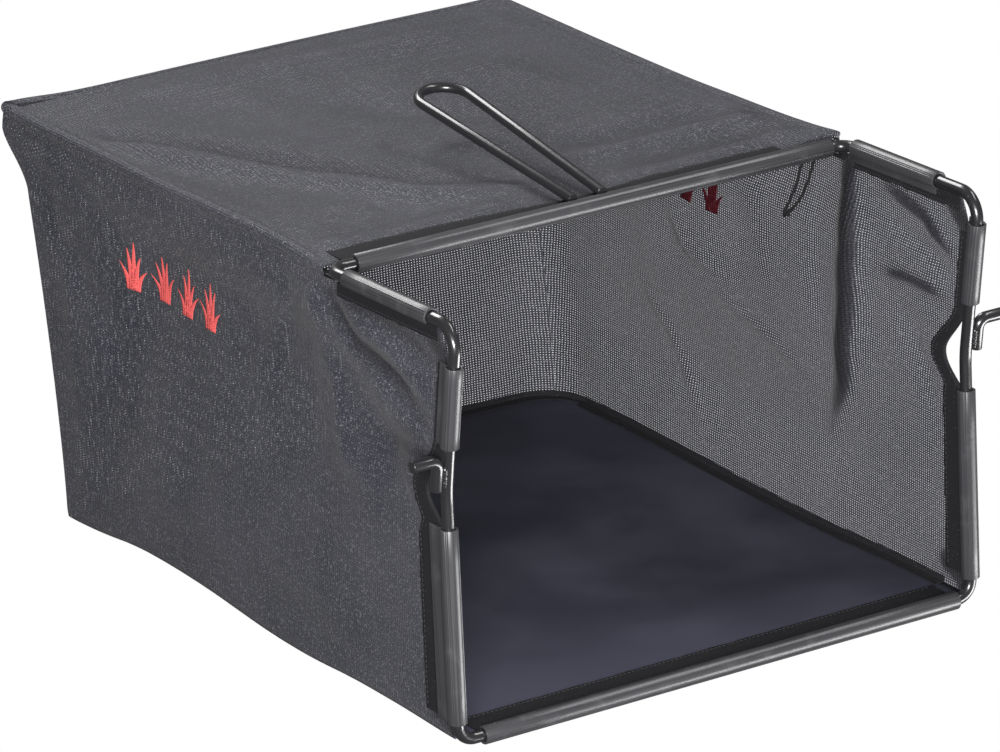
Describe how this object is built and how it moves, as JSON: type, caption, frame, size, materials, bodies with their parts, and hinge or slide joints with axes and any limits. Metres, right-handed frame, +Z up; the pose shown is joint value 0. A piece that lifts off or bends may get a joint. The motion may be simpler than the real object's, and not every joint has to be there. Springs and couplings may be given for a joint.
{
  "type": "scarifier collection bag",
  "caption": "Soft collection bag with an open mouth, clipped by push-on profiles to a bent rod frame with hanging pins and a lifting loop.",
  "frame": {"origin": "middle of the bag's footprint, on the surface that it stands on", "axes": "+Y from the open mouth back into the bag, +X to the right when looking into the mouth, +Z up"},
  "size_m": [0.4596, 0.5516, 0.3103],
  "materials": {
    "painted_rod": "gloss black",
    "grey_plastic": "satin dark grey",
    "mesh_cloth": "open black weave",
    "coated_cloth": "smooth black coating",
    "binding_tape": "black woven tape",
    "twine": "black twisted twine"
  },
  "bodies": {
    "root": {"front_frame": "painted_rod", "rear_wire": "painted_rod", "handle_loop": "painted_rod", "hook_pin_left": "painted_rod", "hook_pin_right": "painted_rod", "top_clip": "grey_plastic", "bottom_clip": "grey_plastic", "arm_clip_left": "grey_plastic", "arm_clip_right": "grey_plastic", "upper_clip_left": "grey_plastic", "upper_clip_right": "grey_plastic", "lower_clip_left": "grey_plastic", "lower_clip_right": "grey_plastic", "top_panel": "mesh_cloth", "side_panel_left": "mesh_cloth", "side_panel_right": "mesh_cloth", "rear_panel": "mesh_cloth", "floor_panel": "coated_cloth", "top_binding": "binding_tape", "floor_binding": "binding_tape", "upright_binding_left": "binding_tape", "upright_binding_right": "binding_tape", "arm_binding_left": "binding_tape", "arm_binding_right": "binding_tape", "floor_seam_left": "binding_tape", "floor_seam_right": "binding_tape", "floor_seam_rear": "binding_tape", "wire_sleeve_left": "mesh_cloth", "wire_sleeve_right": "mesh_cloth", "wire_sleeve_rear": "mesh_cloth", "tie_cord": "twine"}
  },
  "joints": []
}
